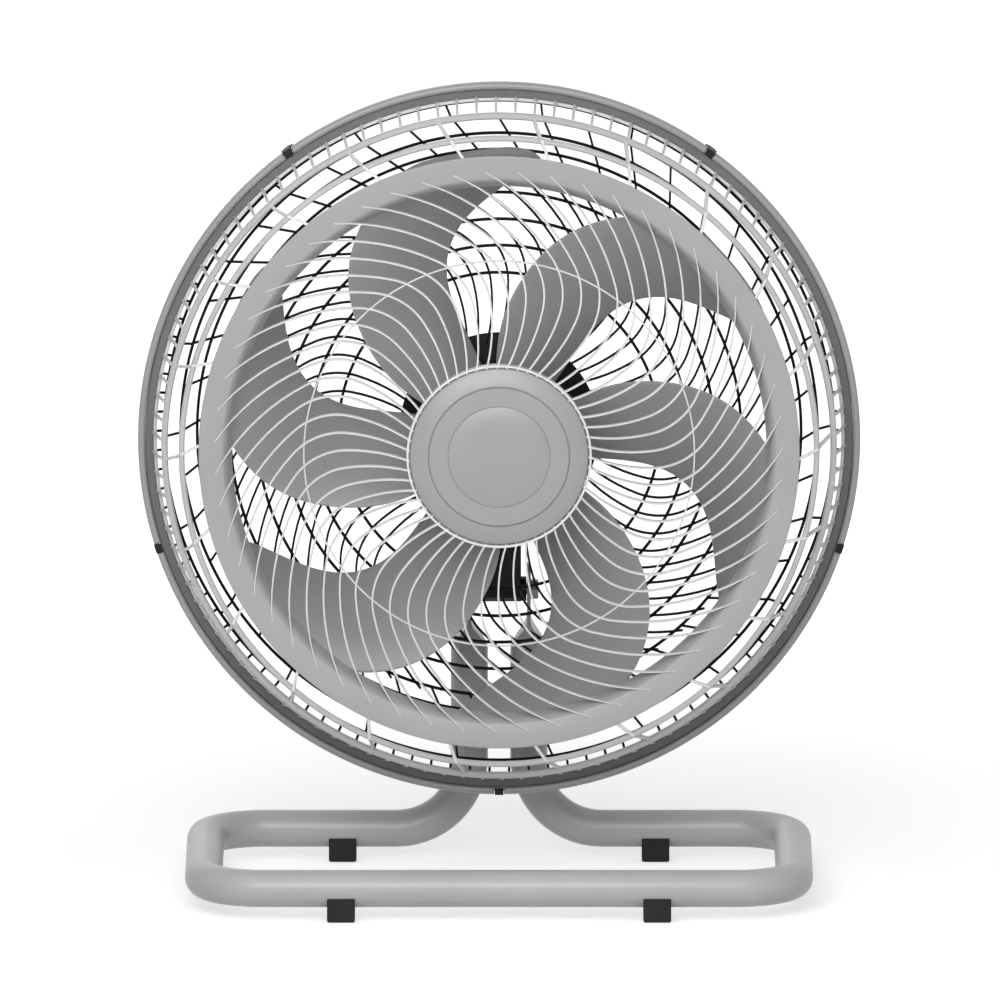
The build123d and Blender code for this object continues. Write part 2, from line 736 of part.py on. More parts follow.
with BuildPart() as stator_core:
    rounded_square(STACK_BACK_Z, STACK_FRONT_Z)
    flats(ROTOR_R + AIR_GAP, 24, STACK_BACK_Z, STACK_FRONT_Z, mode=Mode.SUBTRACT)
    screw_holes(STACK_BACK_Z, STACK_FRONT_Z)

save(stator_core, "stator_core")

with BuildPart() as stator_windings:
    for back in (STACK_FRONT_Z, STACK_BACK_Z - WINDING_DEPTH):
        flats(WINDING_R, 16, back, back + WINDING_DEPTH)
        flats(WINDING_BORE_R, 16, back, back + WINDING_DEPTH, mode=Mode.SUBTRACT)

save(stator_windings, "stator_windings")

with BuildPart() as rotor_core:
    flats(ROTOR_R, 24, STACK_BACK_Z, STACK_FRONT_Z)
    flats(SHAFT_R / cos(radians(180 / 8)), 8, STACK_BACK_Z, STACK_FRONT_Z, mode=Mode.SUBTRACT)

save(rotor_core, "rotor_core")

with BuildPart() as motor_screws:
    with BuildSketch(HEAD.offset(MOTOR_BACK_Z)):
        with GridLocations(SCREW_SPACING, SCREW_SPACING, 2, 2):
            RegularPolygon(SCREW_R, 6)
    extrude(amount=FRONT_COVER_Z - COVER_WALL - MOTOR_BACK_Z)
    with BuildSketch(HEAD.offset(MOTOR_BACK_Z)):
        with GridLocations(SCREW_SPACING, SCREW_SPACING, 2, 2):
            RegularPolygon(SCREW_HEAD_R, 6)
    extrude(amount=-SCREW_HEAD_DEPTH)

save(motor_screws, "motor_screws")


# Rear guard

BACK_FACE_Z = BACK_Z + BACK_DEPTH / 2
SEAT_R = LIP_INNER_R - 0.4
SEAT_BACK_Z = -9


def back_spiral():
    """The part of the spiral that the back guard's inner ribs follow, in the HEAD plane."""
    return [(-point.Y, point.X) for point in spiral_outline(BACK_RIB_ARCS, BACK_RIB_WIDTH, BACK_RIB_WIDTH)]


def back_posts():
    """The posts that slope outwards from the flat back to the seat ring."""
    radial_bars(
        [BACK_POST_PHASE + 360 * i / ARM_COUNT for i in range(ARM_COUNT)],
        (
            (BACK_RIM_R - 1, BACK_Z - BACK_DEPTH / 2),
            (BACK_RIM_R + 1, BACK_Z - BACK_DEPTH / 2),
            (SEAT_R - 0.6, SEAT_BACK_Z - 2),
            (SEAT_R - 0.6, SEAT_BACK_Z + 1),
            (SEAT_R - 3.6, SEAT_BACK_Z + 1),
        ),
        POST_WIDTH,
    )


def clip_hinges():
    """Two ears behind the rim for each clip, and the pin between them that it turns on."""
    ear = (
        (SEAT_R - 4, SEAT_BACK_Z + 2),
        (SEAT_R - 1, SEAT_BACK_Z + 2),
        (SEAT_R - 1, SEAT_BACK_Z - 0.5),
        (CLIP_PIN_R + 2, CLIP_PIN_Z + 2.5),
        (CLIP_PIN_R + 2, CLIP_PIN_Z - 2),
        (CLIP_PIN_R - 2.5, CLIP_PIN_Z - 2),
        (SEAT_R - 4, SEAT_BACK_Z - 2),
    )
    inside = CLIP_WIDTH / 2 + FIT_GAP
    for side in (-1, 1):
        radial_bars(CLIP_ANGLES, ear, EAR_WIDTH, side * (inside + EAR_WIDTH / 2))
    corners = [radians(360 * i / PIN_SIDES) for i in range(PIN_SIDES)]
    pin = [(CLIP_PIN_R + PIN_SIZE * cos(turn), CLIP_PIN_Z + PIN_SIZE * sin(turn)) for turn in corners]
    radial_bars(CLIP_ANGLES, pin, 2 * inside + EAR_WIDTH)


with BuildPart() as rear_bars:
    with BuildSketch(HEAD.offset(BACK_Z - BACK_DEPTH / 2)):
        RegularPolygon(PLATE_R, RIM_SIDES)
        for radius, angle in BACK_RINGS:
            turn = 90 - angle
            with BuildSketch(mode=Mode.PRIVATE) as wire_ring:
                RegularPolygon(radius + BACK_RING_WIDTH / 2, RIM_SIDES, rotation=turn)
                RegularPolygon(radius - BACK_RING_WIDTH / 2, RIM_SIDES, rotation=turn, mode=Mode.SUBTRACT)
            add(wire_ring.sketch)
        with PolarLocations(0, ARM_COUNT):
            Polygon(*back_spiral(), align=None)
            Polygon(
                *slanted_bar(BACK_ARM_PHASE, BACK_SPIRAL_R, BACK_RIM_R, BACK_ARM_SLANT, BACK_RIB_WIDTH),
                align=None,
            )
        RegularPolygon(NOSE_R + 0.1, 16, mode=Mode.SUBTRACT)
    extrude(amount=BACK_DEPTH)
    back_posts()
    flat_ring(SEAT_R, BAND_INNER_R, SEAT_BACK_Z, BAND_BACK_Z, RIM_SIDES)
    clip_hinges()

with BuildPart() as rear_guard:
    add(rear_bars.part)
    split(bisect_by=HEAD.offset(BACK_FACE_Z), keep=Keep.BOTTOM)

save(rear_guard, "rear_guard")

with BuildPart() as rear_posts:
    back_posts()
    split(bisect_by=HEAD.offset(BACK_FACE_Z), keep=Keep.TOP)
    split(bisect_by=HEAD.offset(SEAT_BACK_Z), keep=Keep.BOTTOM)

save(rear_posts, "rear_posts")

with BuildPart() as rear_guard_wall:
    add(rear_bars.part)
    split(bisect_by=HEAD.offset(BACK_FACE_Z), keep=Keep.TOP)
    add(rear_posts.part, mode=Mode.SUBTRACT)

save(rear_guard_wall, "rear_guard_wall")

with BuildPart() as guard_nut:
    flats(24, 12, BACK_FACE_Z, NOSE_Z - 1)
    flats(NOSE_R, 16, BACK_FACE_Z, NOSE_Z - 1, mode=Mode.SUBTRACT)

save(guard_nut, "guard_nut")


# Guard clips


def make_clip(label, angle):
    """A clip that turns on its pin behind the rim and hooks over the lip."""
    with BuildPart() as clip:
        with BuildSketch(head_radial(angle).offset(-CLIP_WIDTH / 2)):
            Polygon(
                (CLIP_PIN_R - 2, CLIP_PIN_Z - 2),
                (CLIP_PIN_R + 1.8, CLIP_PIN_Z - 2),
                (CLIP_PIN_R + 1.8, CLIP_FRONT_Z - 1),
                (CLIP_PIN_R + 0.6, CLIP_FRONT_Z),
                (LIP_INNER_R - 0.5, CLIP_FRONT_Z),
                (LIP_INNER_R - 0.5, CLIP_FRONT_Z - 1.5),
                (CLIP_PIN_R, CLIP_FRONT_Z - 1.5),
                (CLIP_PIN_R, CLIP_PIN_Z + 2),
                (CLIP_PIN_R - 2, CLIP_PIN_Z + 2),
                align=None,
            )
            with Locations((CLIP_PIN_R, CLIP_PIN_Z)):
                RegularPolygon(PIN_SIZE + 0.1, PIN_SIDES, mode=Mode.SUBTRACT)
        extrude(amount=CLIP_WIDTH)
    save(clip, label)


for number, angle in enumerate(CLIP_ANGLES, 1):
    make_clip("guard_clip_" + str(number), angle)


# Motor shell and what it covers

with BuildPart() as motor_shell:
    flat_cone(SHELL_SKIN, SHELL_SIDES)
    flat_cone(SHELL_HOLLOW, SHELL_SIDES, mode=Mode.SUBTRACT)
    block((0, -52), (NECK_WIDTH + 1, 20), SHELL_SLOT_Z, SHELL_FRONT_Z, mode=Mode.SUBTRACT)
    with BuildSketch(SPEED.offset(40)) as stem_hole:
        RegularPolygon(STEM_R + 1, 8)
    extrude(stem_hole.sketch, amount=30, mode=Mode.SUBTRACT)
    with BuildSketch(HEAD.offset(SHELL_BACK_Z - 1)) as vents:
        with GridLocations(2 * VENT_X, VENT_PITCH, 2, VENT_ROWS):
            Rectangle(VENT_LENGTH, VENT_WIDTH)
    extrude(vents.sketch, amount=4, mode=Mode.SUBTRACT)
    with BuildSketch(HEAD.offset(SHELL_BACK_Z - 1)) as gland_hole:
        with Locations(GLAND_SPOT):
            RegularPolygon(GLAND_R, 12)
    extrude(gland_hole.sketch, amount=6, mode=Mode.SUBTRACT)

save(motor_shell, "motor_shell")

with BuildPart() as cord_gland:
    with BuildSketch(HEAD.offset(SHELL_BACK_Z - 6)) as tail:
        with Locations(GLAND_SPOT):
            RegularPolygon(GLAND_R, 12)
            RegularPolygon(GLAND_BORE_R, 12, mode=Mode.SUBTRACT)
    extrude(tail.sketch, amount=12)
    with BuildSketch(HEAD.offset(SHELL_BACK_Z - 3)) as collar:
        with Locations(GLAND_SPOT):
            RegularPolygon(GLAND_R + 2.5, 12)
            RegularPolygon(GLAND_BORE_R, 12, mode=Mode.SUBTRACT)
    extrude(collar.sketch, amount=3)

save(cord_gland, "cord_gland")

with BuildPart() as shell_post:
    flats(9, 6, SHELL_BACK_Z + 2, MOTOR_BACK_Z)

save(shell_post, "shell_post")

with BuildPart() as capacitor:
    block(CAPACITOR_SPOT, CAPACITOR_SIZE, MOTOR_BACK_Z - CAPACITOR_DEPTH, MOTOR_BACK_Z)
    chamfer(capacitor.edges().filter_by(Axis.Y), 2)

save(capacitor, "capacitor")

with BuildPart() as terminal_block:
    block((0, TERMINAL_Y), (30, 9), MOTOR_BACK_Z - 9, MOTOR_BACK_Z)
    for x in (-TERMINAL_PITCH, 0, TERMINAL_PITCH):
        block((x, TERMINAL_Y), (5, 5), MOTOR_BACK_Z - 9, MOTOR_BACK_Z - 5, mode=Mode.SUBTRACT)

save(terminal_block, "terminal_block")

with BuildPart() as speed_switch:
    block((SPEED_X - 4, MOTOR_SIZE / 2 + 3), (16, 6), SPEED_Z - 9, SPEED_Z + 9)
    with BuildSketch(SPEED.offset(MOTOR_SIZE / 2 + 2)) as well:
        RegularPolygon(STEM_R + FIT_GAP, 12)
    extrude(well.sketch, amount=5, mode=Mode.SUBTRACT)

save(speed_switch, "speed_switch")

with BuildPart() as speed_knob:
    with BuildSketch(SPEED.offset(MOTOR_SIZE / 2 + 3)) as stem:
        RegularPolygon(STEM_R, 12)
    extrude(stem.sketch, amount=SPEED_TOP - 11 - MOTOR_SIZE / 2 - 3)
    with BuildSketch(SPEED.offset(SPEED_TOP - 11)) as grip:
        RegularPolygon(SPEED_KNOB_R, 16)
    extrude(grip.sketch, amount=11)
    chamfer(speed_knob.faces().sort_by(Axis.Z)[-1].edges(), 1)
    with BuildSketch(SPEED.offset(SPEED_TOP)) as pointer:
        with Locations((0, SPEED_KNOB_R / 2 - 1)):
            Rectangle(1.6, SPEED_KNOB_R - 3)
    extrude(pointer.sketch, amount=-0.6, mode=Mode.SUBTRACT)

save(speed_knob, "speed_knob")

with BuildPart() as bracket_screws:
    with BuildSketch(PIVOT_TOP) as heads:
        with Locations(*[(x, y) for x in (-18, 18) for y in (-6, 6)]):
            RegularPolygon(3, 6)
    extrude(heads.sketch, amount=2.4)

save(bracket_screws, "bracket_screws")
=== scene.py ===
from math import cos, pi, radians, sin, sqrt, tan

import bmesh
import bpy
import numpy as np
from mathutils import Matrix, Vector


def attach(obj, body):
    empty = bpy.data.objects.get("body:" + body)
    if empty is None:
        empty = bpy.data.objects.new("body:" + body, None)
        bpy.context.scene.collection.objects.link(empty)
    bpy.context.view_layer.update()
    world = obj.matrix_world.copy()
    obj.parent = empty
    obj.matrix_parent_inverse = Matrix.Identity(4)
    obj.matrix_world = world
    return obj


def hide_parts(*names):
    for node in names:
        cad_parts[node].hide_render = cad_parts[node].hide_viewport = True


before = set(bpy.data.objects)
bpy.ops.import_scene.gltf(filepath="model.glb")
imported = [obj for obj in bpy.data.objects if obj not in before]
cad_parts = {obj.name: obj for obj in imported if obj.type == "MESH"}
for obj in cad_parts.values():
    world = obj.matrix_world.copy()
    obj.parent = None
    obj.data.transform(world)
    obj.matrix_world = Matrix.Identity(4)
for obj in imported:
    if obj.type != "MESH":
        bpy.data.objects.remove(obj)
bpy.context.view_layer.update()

# Places, in millimetres, as in the CAD model: the rim is on y = HEAD_Y and the fan blows towards -Y
MM = 0.001
HEAD_Y = 11.85
AXIS_HEIGHT = 306.0
RISER_Y = 93.85
PIVOT_HEIGHT = 188.0
FRONT_NODES = ("front_foot_ring", "front_posts", "front_cage", "cone_carrier")
REAR_NODES = ("rear_guard", "rear_posts", "rear_guard_wall")
FOOT_NODES = ("foot_front_left", "foot_front_right", "foot_rear_left", "foot_rear_right")
ROUND = 220
ROUND_RIM = 300


def head(x, y, z):
    """A point given to the right, up and forward of the middle of the rim."""
    return Vector((x, HEAD_Y - z, AXIS_HEIGHT + y)) * MM


def polar(angle, radius, z):
    """A point given by its clock angle and radius about the blade's axis."""
    turn = radians(angle)
    return head(radius * sin(turn), radius * cos(turn), z)


def tangent(angle):
    """The clockwise way along the rim at a clock angle."""
    return Vector((cos(radians(angle)), 0, -sin(radians(angle))))


# Materials


def grey(level):
    """A grey given as a picture shows it, from 0 to 255."""
    share = level / 255
    linear = share / 12.92 if share <= 0.04045 else ((share + 0.055) / 1.055) ** 2.4
    return (linear, linear, linear * 1.01, 1)


def material(
    name, low, high, rough, metallic=0.0, grain=900.0, bump=0.04, coat=0.0, streak=None, shine=0.5
):
    """A surface whose colour drifts between two shades, with its own roughness pattern and fine relief."""
    mat = bpy.data.materials.new(name)
    mat.use_nodes = True
    nodes = mat.node_tree.nodes
    links = mat.node_tree.links
    shader = nodes["Principled BSDF"]
    shader.inputs["Metallic"].default_value = metallic
    shader.inputs["Specular IOR Level"].default_value = shine
    shader.inputs["Coat Weight"].default_value = coat
    shader.inputs["Coat Roughness"].default_value = 0.25
    place = nodes.new("ShaderNodeTexCoord")
    spread = nodes.new("ShaderNodeMapping")
    if streak:
        spread.inputs["Scale"].default_value = streak
    links.new(place.outputs["Object"], spread.inputs["Vector"])

    drift = nodes.new("ShaderNodeTexNoise")
    drift.inputs["Scale"].default_value = 14.0
    drift.inputs["Detail"].default_value = 4.0
    links.new(spread.outputs["Vector"], drift.inputs["Vector"])
    shades = nodes.new("ShaderNodeValToRGB")
    shades.color_ramp.elements[0].position = 0.35
    shades.color_ramp.elements[0].color = low
    shades.color_ramp.elements[1].position = 0.65
    shades.color_ramp.elements[1].color = high
    links.new(drift.outputs["Fac"], shades.inputs["Fac"])
    links.new(shades.outputs["Color"], shader.inputs["Base Color"])

    handled = nodes.new("ShaderNodeTexNoise")
    handled.inputs["Scale"].default_value = 60.0
    handled.inputs["Detail"].default_value = 6.0
    links.new(spread.outputs["Vector"], handled.inputs["Vector"])
    polish = nodes.new("ShaderNodeMapRange")
    polish.inputs["To Min"].default_value = max(0.05, rough - 0.08)
    polish.inputs["To Max"].default_value = min(1.0, rough + 0.08)
    links.new(handled.outputs["Fac"], polish.inputs["Value"])
    links.new(polish.outputs["Result"], shader.inputs["Roughness"])

    fine = nodes.new("ShaderNodeTexNoise")
    fine.inputs["Scale"].default_value = grain
    fine.inputs["Detail"].default_value = 3.0
    links.new(spread.outputs["Vector"], fine.inputs["Vector"])
    relief = nodes.new("ShaderNodeBump")
    relief.inputs["Strength"].default_value = bump
    relief.inputs["Distance"].default_value = 0.0004
    links.new(fine.outputs["Fac"], relief.inputs["Height"])
    links.new(relief.outputs["Normal"], shader.inputs["Normal"])
    return mat


TUBE_PAINT = material("tube_paint", grey(174), grey(180), 0.42, grain=1400, bump=0.08, coat=0.15)
# Light grey guard plastic brought up to near white: partly the guard's own colour, partly a painted
# highlight on the thin ribs and bars.
GUARD_LIGHT_HIGHLIT = material("guard_light", grey(224), grey(229), 0.38, grain=800)
# The front cage's rings: the same plastic as its bars, painted darker as shade on the rings.
RING_SHADED_GREY = material("ring_grey_painted_shade", grey(186), grey(192), 0.38, grain=800)
CONE_GREY = material("cone_grey", grey(162), grey(167), 0.4, grain=800)
LIP_GREY = material("lip_grey", grey(152), grey(158), 0.36, grain=800)
# The rim channel's grey: partly the band's own dark grey, partly painted shade darkening the inside of the
# recessed channel.
BAND_SHADED_GREY = material("band_grey", grey(100), grey(106), 0.45, grain=800)
CAP_GREY = material("cap_grey", grey(155), grey(160), 0.33, grain=700)
# Blade grey raised above the blades' own grey: painted light that makes up for the shade the grille casts on
# the blades and hub.
BLADE_LIT_GREY = material("blade_grey", grey(146), grey(151), 0.35, grain=700)
GUARD_BLACK = material("guard_black", grey(12), grey(16), 0.5, grain=900, shine=0.12)
BLACK_PLASTIC = material("black_plastic", grey(20), grey(26), 0.55, grain=1500, bump=0.15, shine=0.2)
BRACKET_BLACK = material("bracket_black", grey(22), grey(28), 0.45, grain=1200, bump=0.1, shine=0.3)
RUBBER = material("rubber_black", grey(40), grey(48), 0.75, grain=2200, bump=0.25, shine=0.15)
BOLT_STEEL = material("bolt_steel", grey(170), grey(196), 0.3, metallic=1.0, grain=600, bump=0.06)
ALLOY = material("motor_alloy", grey(150), grey(176), 0.5, metallic=1.0, grain=1500, bump=0.2)
CORE_STEEL = material(
    "core_steel", grey(96), grey(120), 0.45, metallic=1.0, grain=300, bump=0.3, streak=(1, 40, 1)
)
COPPER = material(
    "copper", (0.55, 0.2, 0.08, 1), (0.65, 0.26, 0.1, 1), 0.35, metallic=1.0, grain=500, bump=0.5
)
BRONZE = material("bush_bronze", (0.5, 0.33, 0.16, 1), (0.6, 0.42, 0.2, 1), 0.4, metallic=1.0)
WHITE_PLASTIC = material("white_plastic", grey(214), grey(222), 0.35)


# Mesh helpers

WELD_DISTANCE = 0.000002


def turn_faces_out(mesh):
    """Turn every face of a closed mesh outwards."""
    solid = bmesh.new()
    solid.from_mesh(mesh)
    bmesh.ops.recalc_face_normals(solid, faces=solid.faces)
    solid.to_mesh(mesh)
    solid.free()


def piece(name, verts, faces, mat, body, nodes=(), sharp=32):
    """A finished mesh that rides on a body and may stand for CAD nodes."""
    mesh = bpy.data.meshes.new(name)
    mesh.from_pydata([tuple(v) for v in verts], [], faces)
    mesh.validate()
    turn_faces_out(mesh)
    mesh.shade_smooth()
    mesh.set_sharp_from_angle(angle=radians(sharp))
    mesh.materials.append(mat)
    obj = bpy.data.objects.new(name, mesh)
    bpy.context.scene.collection.objects.link(obj)
    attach(obj, body)
    if nodes:
        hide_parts(*nodes)
    return obj


class Shape:
    """Vertices and faces that several loops and bars add to."""

    def __init__(self):
        self.verts = []
        self.faces = []

    def loft(self, loops, closed=False):
        """Skin loops of as many points each; closed joins the last to the first."""
        start = len(self.verts)
        count = len(loops[0])
        for loop in loops:
            self.verts.extend(loop)
        spans = len(loops) if closed else len(loops) - 1
        for i in range(spans):
            near = start + i * count
            far = start + (i + 1) % len(loops) * count
            for j in range(count):
                k = (j + 1) % count
                self.faces.append((near + j, near + k, far + k, far + j))
        if not closed:
            self.faces.append(tuple(range(start, start + count)))
            last = start + (len(loops) - 1) * count
            self.faces.append(tuple(range(last + count - 1, last - 1, -1)))

    def turn(self, profile, segments=ROUND):
        """Turn a closed (radius, forward) outline about the blade's axis."""
        loops = []
        for i in range(segments):
            angle = 360 * i / segments
            loops.append([polar(angle, radius, z) for radius, z in profile])
        self.loft(loops, closed=True)

    def bar(self, line, across, down, widths, depth, chamfer=0.4):
        """A bar under a line of points, with its front edges eased."""
        loops = []
        for point, side, drop, width in zip(line, across, down, widths):
            half = width / 2
            ease = min(chamfer, half * 0.6)
            front = [(-half, ease), (ease - half, 0), (half - ease, 0), (half, ease)]
            section = front + [(half, depth), (-half, depth)]
            loops.append([point + (side * s + drop * d) * MM for s, d in section])
        self.loft(loops)


def soft_box(inner, outer, back, front, ease=0.5):
    """A rounded outline for a ring, as (radius, forward) points."""
    return [
        (inner + ease, back), (outer - ease, back), (outer, back + ease), (outer, front - ease),
        (outer - ease, front), (inner + ease, front), (inner, front - ease), (inner, back + ease),
    ]


def rounded(points, radius, steps=4):
    """Round the corners of a closed outline."""
    result = []
    count = len(points)
    for i in range(count):
        here = Vector(points[i])
        before = Vector(points[i - 1]) - here
        after = Vector(points[(i + 1) % count]) - here
        reach = min(radius, before.length * 0.45, after.length * 0.45)
        start = here + before.normalized() * reach
        end = here + after.normalized() * reach
        for k in range(steps + 1):
            t = k / steps
            result.append(tuple(start * (1 - t) ** 2 + here * (2 * t * (1 - t)) + end * t ** 2))
    return result


def dressed(node, body, mat, width=0.5, segments=2):
    """The CAD node's own form with its edges eased, standing in for it."""
    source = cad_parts[node]
    form = bmesh.new()
    form.from_mesh(source.data)
    bmesh.ops.remove_doubles(form, verts=form.verts, dist=WELD_DISTANCE)
    bmesh.ops.dissolve_limit(form, angle_limit=radians(1), verts=form.verts, edges=form.edges)
    bmesh.ops.recalc_face_normals(form, faces=form.faces)
    verts = [v.co.copy() for v in form.verts]
    form.verts.index_update()
    faces = [tuple(v.index for v in f.verts) for f in form.faces]
    form.free()
    obj = piece(node + "_form", verts, faces, mat, body, (node,))
    ease = obj.modifiers.new("eased_edges", "BEVEL")
    ease.width = width * MM
    ease.segments = segments
    ease.limit_method = "ANGLE"
    ease.angle_limit = radians(28)
    ease.harden_normals = True
    return obj


def cut(obj, shape):
    """Take a shape's volume out of a piece, for good."""
    mesh = bpy.data.meshes.new("cutter")
    mesh.from_pydata([tuple(v) for v in shape.verts], [], shape.faces)
    turn_faces_out(mesh)
    tool = bpy.data.objects.new("cutter", mesh)
    bpy.context.scene.collection.objects.link(tool)
    taken = obj.modifiers.new("taken_out", "BOOLEAN")
    taken.operation = "DIFFERENCE"
    taken.solver = "EXACT"
    taken.object = tool
    tool.matrix_world = obj.matrix_world
    bpy.context.view_layer.update()
    whole = obj.evaluated_get(bpy.context.evaluated_depsgraph_get())
    result = bpy.data.meshes.new_from_object(whole)
    obj.modifiers.remove(taken)
    obj.data = result
    bpy.data.objects.remove(tool)
    bpy.data.meshes.remove(mesh)


def prism(shape, outline, start, way):
    """A straight bar of one outline: its points are placed from start, and run on by way."""
    near = [start + point for point in outline]
    shape.loft([near, [point + way for point in near]])


# Base tube

TUBE_R = 12.7
TUBE_ROUND = 48
RISER_X = 20.3
SIDE_X = 200.3
FRONT_Y = RISER_Y - 221.0
TUBE_Z = 21.4
BEND_STEPS = 14
LUG_HALF = 1.3
LUG_R = 18.0
FLATTEN_FROM = 146.0
FLATTEN_TO = 168.0


def tube_line():
    """The tube's centre line with true round bends, as (point, direction)."""
    corners = [
        (Vector((-RISER_X, RISER_Y, TUBE_Z)), 50.0),
        (Vector((-SIDE_X, RISER_Y, TUBE_Z)), 41.0),
        (Vector((-SIDE_X, FRONT_Y, TUBE_Z)), 41.0),
        (Vector((SIDE_X, FRONT_Y, TUBE_Z)), 41.0),
        (Vector((SIDE_X, RISER_Y, TUBE_Z)), 41.0),
        (Vector((RISER_X, RISER_Y, TUBE_Z)), 50.0),
    ]
    ends = [Vector((x, RISER_Y, FLATTEN_FROM)) for x in (-RISER_X, RISER_X)]
    points = [ends[0]] + [corner for corner, _ in corners] + [ends[1]]
    line = [(ends[0], Vector((0, 0, -1)))]
    for i, (corner, radius) in enumerate(corners):
        before = (corner - points[i]).normalized()
        after = (points[i + 2] - corner).normalized()
        centre = corner + (after - before) * radius
        for step in range(BEND_STEPS + 1):
            turn = radians(90 * step / BEND_STEPS)
            place = centre - after * (radius * cos(turn)) + before * (radius * sin(turn))
            line.append((place, before * cos(turn) + after * sin(turn)))
    line.append((ends[1], Vector((0, 0, 1))))
    return line


def tube_loop(place, direction):
    """The tube's round section."""
    level = Vector((0, 0, 1)).cross(direction)
    if level.length < 0.01:
        level = Vector((0, -1, 0))
    level = level.normalized()
    rise = direction.cross(level).normalized()
    loop = []
    for i in range(TUBE_ROUND):
        turn = 2 * pi * i / TUBE_ROUND
        loop.append((place + (level * cos(turn) + rise * sin(turn)) * TUBE_R) * MM)
    return loop


def riser_loops(side):
    """Sections from the round riser up over its flattened end."""
    loops = []
    for step in range(13):
        share = step / 12
        blend = share * share * (3 - 2 * share)
        z = FLATTEN_FROM + (FLATTEN_TO - FLATTEN_FROM) * share
        thick = TUBE_R + (LUG_HALF - TUBE_R) * blend
        wide = TUBE_R + (LUG_R - TUBE_R) * blend
        loops.append(flat_loop(side, z, thick, wide))
    for step in range(1, 17):
        z = FLATTEN_TO + (PIVOT_HEIGHT - FLATTEN_TO) * min(1, step / 4)
        if step > 4:
            z = PIVOT_HEIGHT + LUG_R * sin(pi / 2 * (step - 4) / 12.4)
        wide = LUG_R if z <= PIVOT_HEIGHT else sqrt(max(0.1, LUG_R ** 2 - (z - PIVOT_HEIGHT) ** 2))
        loops.append(flat_loop(side, z, LUG_HALF, wide))
    return loops


def flat_loop(side, z, thick, wide):
    """One squeezed section of a riser."""
    loop = []
    for i in range(TUBE_ROUND):
        turn = 2 * pi * i / TUBE_ROUND
        across = max(-thick, min(thick, sin(turn) * TUBE_R))
        loop.append(Vector((side * RISER_X + across, RISER_Y - wide * cos(turn), z)) * MM)
    return loop


tube = Shape()
tube.loft([tube_loop(place, direction) for place, direction in tube_line()])
for side in (-1, 1):
    tube.loft(riser_loops(side))
piece("tube_loop", tube.verts, tube.faces, TUBE_PAINT, "base", ("base_tube",), sharp=50)

for node in FOOT_NODES:
    dressed(node, "base", RUBBER, 1.2, 3)

dressed("tilt_bolt", "base", BOLT_STEEL, 0.5)
dressed("tilt_bracket", "head", BRACKET_BLACK, 1.0, 3)
dressed("bracket_screws", "head", BOLT_STEEL, 0.3)


# Tilt knob


def knob_loop(x, scale, lobes=True):
    """The knob's lobed outline at one place along the bolt."""
    loop = []
    for i in range(96):
        turn = 2 * pi * i / 96
        radius = 13.9 + 1.1 * cos(6 * turn) - 0.5 * cos(12 * turn) if lobes else 9.0
        radius = radius * scale
        loop.append(Vector((x, RISER_Y + radius * cos(turn), PIVOT_HEIGHT + radius * sin(turn))) * MM)
    return loop


KNOB_X = -21.9
knob = Shape()
knob.loft([
    knob_loop(KNOB_X, 0.97, False), knob_loop(KNOB_X - 0.4, 1.0, False), knob_loop(KNOB_X - 4.0, 1.0, False),
    knob_loop(KNOB_X - 4.1, 0.93), knob_loop(KNOB_X - 4.6, 0.975), knob_loop(KNOB_X - 5.6, 1.0),
    knob_loop(KNOB_X - 12.4, 1.0), knob_loop(KNOB_X - 13.4, 0.975), knob_loop(KNOB_X - 14.0, 0.92),
    knob_loop(KNOB_X - 14.2, 0.6), knob_loop(KNOB_X - 15.6, 0.56), knob_loop(KNOB_X - 16.0, 0.5),
    knob_loop(KNOB_X - 16.0, 0.1),
])
piece("tilt_grip", knob.verts, knob.faces, BLACK_PLASTIC, "knob", ("tilt_knob",), sharp=40)


# Rim

hoop = Shape()
hoop.turn(rounded([(240.8, -7), (245.5, -7), (245.5, 2.5), (240.8, 2.5)], 2.0), ROUND_RIM)
rim_lip = piece("rim_lip", hoop.verts, hoop.faces, LIP_GREY, "head", ("rim_hoop",), sharp=60)

CLIP_ANGLES = (36, 108, 180, 252, 324)
notches = Shape()
for angle in CLIP_ANGLES:
    way = tangent(angle) * MM
    outline = [polar(angle, r, z) for r, z in ((241.6, -9), (250, -9), (250, 5), (241.6, 5))]
    prism(notches, outline, way * -3.4, way * 6.8)
cut(rim_lip, notches)

band = Shape()
band.turn([(235, -5), (240.7, -5), (240.7, -1.4), (240.2, -1), (235.5, -1), (235, -1.4)], ROUND_RIM)
piece("rim_channel", band.verts, band.faces, BAND_SHADED_GREY, "head", ("rim_band",))


# Front cage

POSTS = 110
POST_PHASE = 2.75
POST_WIDTH = 1.7
POST_DEPTH = 1.9
ARMS = 22
ARM_PHASE = 9.56
ARM_LINE = (
    (0.0, 203.0, 54.9), (0.9, 209.4, 54.2), (1.85, 216.4, 52.9), (2.6, 220.6, 44.0), (3.5, 226.6, 30.6),
)


def wire(shape, line, side, width, depth):
    """A thin bar through a line of points; side is the way across it."""
    across = []
    down = []
    for i in range(len(line)):
        along = (line[min(i + 1, len(line) - 1)] - line[max(i - 1, 0)]).normalized()
        under = along.cross(side).normalized()
        down.append(under)
        across.append(under.cross(along).normalized())
    shape.bar(line, across, down, [width] * len(line), depth)


def post(shape, angle, outline, width):
    """A thin post in a radial plane, through (radius, forward) points."""
    wire(shape, [polar(angle, radius, z) for radius, z in outline], tangent(angle), width, POST_DEPTH)


